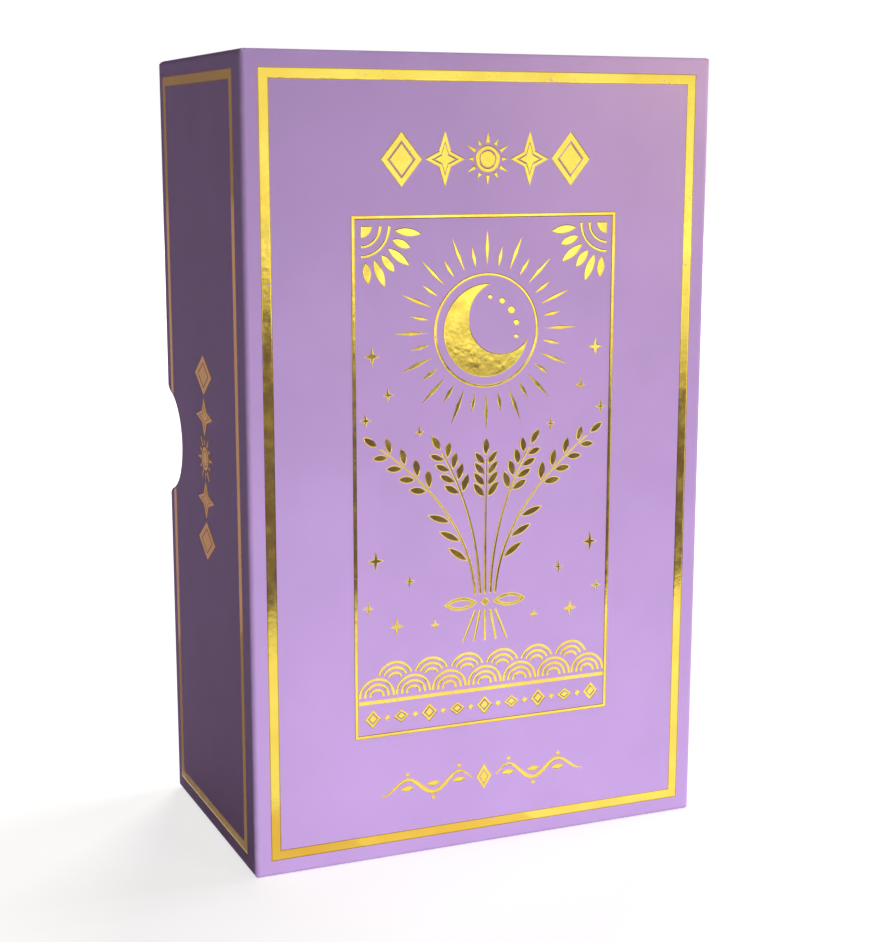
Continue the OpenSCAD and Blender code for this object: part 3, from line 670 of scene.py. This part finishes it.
class DECK_OT_cards(bpy.types.Operator):
    """The deck: five packets of printed cards"""

    bl_idname = "deck.cards"
    bl_label = "Cards"

    def execute(self, context):
        finish = self.card_stock(context.scene.deck_colours)
        for index, (node, count) in enumerate(PACKETS.items()):
            middle, half = box_of(node)
            pitch = (2 * half.y + CARD_AIR) / count
            card = self.card(half.x, half.z, pitch - 2 * CARD_AIR)
            first = Vector((middle.x, middle.y - half.y + (pitch - CARD_AIR) / 2, middle.z))
            # The tree also uses the seed after its own, so the packets' seeds lie apart.
            piece = stacked(node.replace("_cards", "_packet"), card, Count=count, Start=first,
                            Step=(0, pitch, 0), Slip=(CARD_SLIP, 0, CARD_SLIP), Turn=(0, CARD_TURN, 0),
                            Seed=10 * index, Finish=finish)
            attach(piece, node.replace("_cards", ""))
            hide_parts(node)
        return {"FINISHED"}

    def card(self, half_w, half_h, thick):
        """One card about its middle; its print layer holds x, z in mm and 1 on the back, -1 on the face."""
        outline = []
        for cx, cz, start in ((1, 1, 0), (-1, 1, 1), (-1, -1, 2), (1, -1, 3)):
            for i in range(CORNER_STEPS + 1):
                a = math.pi / 2 * (start + i / CORNER_STEPS)
                outline.append((cx * (half_w - CARD_CORNER) + CARD_CORNER * math.cos(a),
                                cz * (half_h - CARD_CORNER) + CARD_CORNER * math.sin(a)))
        shape = bmesh.new()
        rings = [[shape.verts.new((x, y, z)) for x, z in outline] for y in (-thick / 2, thick / 2)]
        shape.faces.new(rings[0])
        shape.faces.new(reversed(rings[1]))
        for i in range(len(outline)):
            j = (i + 1) % len(outline)
            shape.faces.new((rings[0][j], rings[0][i], rings[1][i], rings[1][j]))
        bmesh.ops.recalc_face_normals(shape, faces=shape.faces)
        layer = shape.loops.layers.float_vector.new("print")
        for face in shape.faces:
            side = 0 if abs(face.normal.y) < 0.5 else (1 if face.normal.y < 0 else -1)
            for loop in face.loops:
                loop[layer] = (loop.vert.co.x / MM, loop.vert.co.z / MM, side)
        mesh = bpy.data.meshes.new("card")
        shape.to_mesh(mesh)
        shape.free()
        return mesh

    def card_stock(self, colours):
        """Coated card, offset printed and varnished: satin white with flat ink, and bare white edges."""
        material, tree, shader, place = new_material("coated card stock", colours.card_white, 0.42)
        printed = add(tree, "ShaderNodeAttribute", attribute_name="print")
        across, up, side = add(tree, "ShaderNodeSeparateXYZ", (printed.outputs["Vector"],)).outputs
        outside, marks, radius = printed_ornament(tree, across, up, *CARD_FRAME)
        ground = add(tree, "ShaderNodeMath", (outside, 0.0), operation="LESS_THAN")
        # The back's lattice of lozenges: rise and fall are the distances to its two sets of lines.
        wide = add(tree, "ShaderNodeMath", (across, LOZENGE[0]), operation="DIVIDE")
        high = add(tree, "ShaderNodeMath", (up, LOZENGE[1]), operation="DIVIDE")
        rise = add(tree, "ShaderNodeMath", (wide, high), operation="ADD")
        fall = add(tree, "ShaderNodeMath", (wide, high), operation="SUBTRACT")
        rise = add(tree, "ShaderNodeMath", (rise, 0.5), operation="PINGPONG")
        fall = add(tree, "ShaderNodeMath", (fall, 0.5), operation="PINGPONG")
        line = add(tree, "ShaderNodeMath", (rise, fall), operation="MINIMUM")
        line = add(tree, "ShaderNodeMath", (line, 0.035), operation="LESS_THAN")
        dot = add(tree, "ShaderNodeMath", (rise, fall), operation="ADD")
        dot = add(tree, "ShaderNodeMath", (dot, 0.86), operation="GREATER_THAN")
        lattice = add(tree, "ShaderNodeMath", (line, dot), operation="MAXIMUM")
        field = add(tree, "ShaderNodeMath", (outside, -LATTICE_INSET), operation="LESS_THAN")
        lattice = add(tree, "ShaderNodeMath", (lattice, field), operation="MULTIPLY")
        clear = add(tree, "ShaderNodeMath", (radius, LATTICE_CLEAR), operation="GREATER_THAN")
        lattice = add(tree, "ShaderNodeMath", (lattice, clear), operation="MULTIPLY")
        back = add(tree, "ShaderNodeMix", {0: lattice, 6: rgba(colours.card_print), 7: rgba("#CDB7E6")},
                   data_type="RGBA")
        back = add(tree, "ShaderNodeMix", {0: marks, 6: back.outputs[2], 7: rgba(colours.gold_ink)},
                   data_type="RGBA")
        face = add(tree, "ShaderNodeMix", {0: marks, 6: rgba("#E7DDF0"), 7: rgba("#7E62A6")},
                   data_type="RGBA")
        is_back = add(tree, "ShaderNodeMath", (side, 0.5), operation="GREATER_THAN")
        inked = add(tree, "ShaderNodeMix", {0: is_back, 6: face.outputs[2], 7: back.outputs[2]},
                    data_type="RGBA")
        flat = add(tree, "ShaderNodeMath", (side,), operation="ABSOLUTE")
        flat = add(tree, "ShaderNodeMath", (flat, 0.5), operation="GREATER_THAN")
        ink = add(tree, "ShaderNodeMath", (ground, flat), operation="MULTIPLY")
        stock = add(tree, "ShaderNodeMix", {0: ink, 6: rgba(colours.card_white), 7: inked.outputs[2]},
                    data_type="RGBA")
        tree.links.new(stock.outputs[2], shader.inputs["Base Color"])
        grain = add(tree, "ShaderNodeTexNoise", {"Vector": place, "Scale": 1 / (0.5 * MM), "Detail": 2})
        bump = add(tree, "ShaderNodeBump", {"Strength": 0.3, "Distance": 0.006 * MM, "Height": grain})
        tree.links.new(bump.outputs[0], shader.inputs["Normal"])
        rough = add(tree, "ShaderNodeMapRange", (flat, 0.0, 1.0, 0.8, 0.4))
        tree.links.new(rough.outputs[0], shader.inputs["Roughness"])
        return material


class DECK_OT_guidebook(bpy.types.Operator):
    """The guidebook: covers, folded sections and spine glue"""

    bl_idname = "deck.guidebook"
    bl_label = "Guidebook"

    def execute(self, context):
        colours = context.scene.deck_colours
        dress(self.cover_card(colours, "guidebook_front_cover", True), "guidebook_front_cover")
        dress(self.cover_card(colours, "guidebook_back_cover", False), "guidebook_back_cover")
        dress(self.glue(), "guidebook_spine_glue")

        middle, half = box_of("guidebook_sections")
        thick = (2 * half.y - (SECTIONS - 1) * SECTION_AIR) / SECTIONS
        start = Vector((middle.x, middle.y - half.y + thick / 2, middle.z))
        piece = stacked("guidebook_leaves", self.section(half.x, half.z, thick), Count=SECTIONS, Start=start,
                        Step=(0, thick + SECTION_AIR, 0), Slip=(SECTION_SLIP, 0, SECTION_SLIP),
                        Turn=(0, 0, 0), Seed=90, Finish=self.book_paper(colours, middle, half))
        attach(piece, "guidebook")
        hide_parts("guidebook_sections")
        return {"FINISHED"}

    def section(self, half_w, half_h, thick):
        """One folded section about its middle: sheets nested round the fold at left, leaves at right."""
        spread = random.Random(7)
        leaf = thick / (2 * SHEETS)
        fold = thick / 2 - half_w
        shape = bmesh.new()
        for sheet in range(SHEETS):
            radius = (sheet + 0.5) * leaf
            ends = [half_w - spread.uniform(*LEAF_BACK) for _ in range(2)]
            paths = []
            for r in (radius + LEAF_FILL / 2 * leaf, radius - LEAF_FILL / 2 * leaf):
                turns = (math.pi * (0.5 + i / FOLD_STEPS) for i in range(FOLD_STEPS + 1))
                bend = [(fold + r * math.cos(a), r * math.sin(a)) for a in turns]
                paths.append([(ends[0], r), *bend, (ends[1], -r)])
            head, foot = ([[shape.verts.new((x, y, z)) for x, y in path] for path in paths]
                          for z in (half_h - LEAF_TRIM, LEAF_TRIM - half_h))
            for i in range(len(paths[0]) - 1):
                shape.faces.new((head[0][i], head[0][i + 1], foot[0][i + 1], foot[0][i]))
                shape.faces.new((head[1][i + 1], head[1][i], foot[1][i], foot[1][i + 1]))
                for ring in (head, foot):
                    shape.faces.new((ring[0][i], ring[0][i + 1], ring[1][i + 1], ring[1][i]))
            for i in (0, -1):
                shape.faces.new((head[0][i], head[1][i], foot[1][i], foot[0][i]))
        bmesh.ops.recalc_face_normals(shape, faces=shape.faces)
        mesh = bpy.data.meshes.new("section")
        shape.to_mesh(mesh)
        shape.free()
        return mesh

    def page_axes(self, tree, place, middle):
        """Sockets for x, y and z in mm from a piece's middle."""
        centred = add(tree, "ShaderNodeMapping", {"Vector": place, "Location": -middle / MM,
                                                  "Scale": (1 / MM, 1 / MM, 1 / MM)})
        return add(tree, "ShaderNodeSeparateXYZ", (centred,)).outputs

    def cover_card(self, colours, node, front):
        """Cover card printed and matt laminated outside, bare white inside, with its cut edges showing."""
        material, tree, shader, place = new_material("printed cover card " + node.split("_")[1],
                                                     colours.book_cover, 0.5)
        middle, half = box_of(node)
        across, through, up = self.page_axes(tree, place, middle)
        half = half / MM
        _, marks, _ = printed_ornament(tree, across, up, half.x - COVER_MARGIN, half.z - COVER_MARGIN)
        if front:
            skin = add(tree, "ShaderNodeMath", (through, PRINT_DEPTH - half.y), operation="LESS_THAN")
        else:
            skin = add(tree, "ShaderNodeMath", (through, half.y - PRINT_DEPTH), operation="GREATER_THAN")
        spine = add(tree, "ShaderNodeMath", (across, PRINT_DEPTH - half.x), operation="LESS_THAN")
        skin = add(tree, "ShaderNodeMath", (skin, spine), operation="MAXIMUM")
        cloud = add(tree, "ShaderNodeTexNoise", {"Vector": place, "Scale": 1 / (10 * MM), "Detail": 3})
        tone = add(tree, "ShaderNodeMapRange", (cloud, 0.3, 0.7, 0.0, 1.0))
        pale = shade(colours.book_cover, 1.08)
        ground = add(tree, "ShaderNodeMix", {0: tone, 6: rgba(colours.book_cover), 7: rgba(pale)},
                     data_type="RGBA")
        inked = add(tree, "ShaderNodeMix", {0: marks, 6: ground.outputs[2], 7: rgba(colours.gold_ink)},
                    data_type="RGBA")
        card = add(tree, "ShaderNodeMix", {0: skin, 6: rgba(colours.white_paper), 7: inked.outputs[2]},
                   data_type="RGBA")
        tree.links.new(card.outputs[2], shader.inputs["Base Color"])
        grain = add(tree, "ShaderNodeTexNoise", {"Vector": place, "Scale": 1 / (0.5 * MM), "Detail": 2})
        bump = add(tree, "ShaderNodeBump", {"Strength": 0.4, "Distance": 0.008 * MM, "Height": grain})
        tree.links.new(bump.outputs[0], shader.inputs["Normal"])
        return material

    def book_paper(self, colours, middle, half):
        """Uncoated cream book paper: matte, a little uneven, with a printed ornament on the first page."""
        material, tree, shader, place = new_material("uncoated book paper", colours.book_paper, 0.85,
                                                     Specular_IOR_Level=0.25)
        across, through, up = self.page_axes(tree, place, middle)
        half = half / MM
        _, marks, _ = printed_ornament(tree, across, up, half.x - PAGE_MARGIN, half.z - PAGE_MARGIN)
        first = add(tree, "ShaderNodeMath", (through, 0.05 - half.y), operation="LESS_THAN")
        marks = add(tree, "ShaderNodeMath", (marks, first), operation="MULTIPLY")
        cloud = add(tree, "ShaderNodeTexNoise", {"Vector": place, "Scale": 1 / (5 * MM), "Detail": 4})
        tone = add(tree, "ShaderNodeMapRange", (cloud, 0.3, 0.7, 0.0, 1.0))
        deep = shade(colours.book_paper, 0.97)
        sheet = add(tree, "ShaderNodeMix", {0: tone, 6: rgba(deep), 7: rgba(colours.book_paper)},
                    data_type="RGBA")
        inked = add(tree, "ShaderNodeMix", {0: marks, 6: sheet.outputs[2], 7: rgba("#8468AC")},
                    data_type="RGBA")
        tree.links.new(inked.outputs[2], shader.inputs["Base Color"])
        tooth = add(tree, "ShaderNodeTexNoise", {"Vector": place, "Scale": 1 / (0.4 * MM), "Detail": 3})
        bump = add(tree, "ShaderNodeBump", {"Strength": 0.5, "Distance": 0.01 * MM, "Height": tooth})
        tree.links.new(bump.outputs[0], shader.inputs["Normal"])
        return material

    def glue(self):
        """Hot-melt spine glue: milky, smooth and slightly lumpy."""
        material, tree, shader, place = new_material("hot-melt glue", "#EAE2CB", 0.35, Subsurface_Weight=0.2,
                                                     Subsurface_Scale=0.3 * MM)
        lump = add(tree, "ShaderNodeTexNoise", {"Vector": place, "Scale": 1 / (1.5 * MM), "Detail": 2})
        tone = add(tree, "ShaderNodeMapRange", (lump, 0.3, 0.7, 0.0, 1.0))
        mixed = add(tree, "ShaderNodeMix", {0: tone, 6: rgba("#DED3B4"), 7: rgba("#F0EAD8")},
                    data_type="RGBA")
        tree.links.new(mixed.outputs[2], shader.inputs["Base Color"])
        bump = add(tree, "ShaderNodeBump", {"Strength": 0.6, "Distance": 0.04 * MM, "Height": lump})
        tree.links.new(bump.outputs[0], shader.inputs["Normal"])
        return material


class DECK_PT_panel(bpy.types.Panel):
    """Colours, light and the steps that dress the deck"""

    bl_idname = "DECK_PT_panel"
    bl_label = "Card deck"
    bl_space_type = "VIEW_3D"
    bl_region_type = "UI"
    bl_category = "Card deck"

    def draw(self, context):
        for group in (context.scene.deck_colours, context.scene.deck_stage):
            for name in group.__annotations__:
                self.layout.prop(group, name)
        for cls in OPERATORS:
            self.layout.operator(cls.bl_idname)


OPERATORS = (DECK_OT_stage, DECK_OT_lid, DECK_OT_foil, DECK_OT_base, DECK_OT_guidebook, DECK_OT_cards)
CLASSES = (DeckColours, DeckStage, *OPERATORS, DECK_PT_panel)


def register():
    for cls in CLASSES:
        bpy.utils.register_class(cls)
    bpy.types.Scene.deck_colours = bpy.props.PointerProperty(type=DeckColours)
    bpy.types.Scene.deck_stage = bpy.props.PointerProperty(type=DeckStage)


def unregister():
    del bpy.types.Scene.deck_stage
    del bpy.types.Scene.deck_colours
    for cls in reversed(CLASSES):
        bpy.utils.unregister_class(cls)


def main():
    register()
    bpy.ops.deck.stage()
    bpy.ops.deck.lid()
    bpy.ops.deck.foil()
    bpy.ops.deck.base()
    bpy.ops.deck.guidebook()
    bpy.ops.deck.cards()


if __name__ == "__main__":
    main()
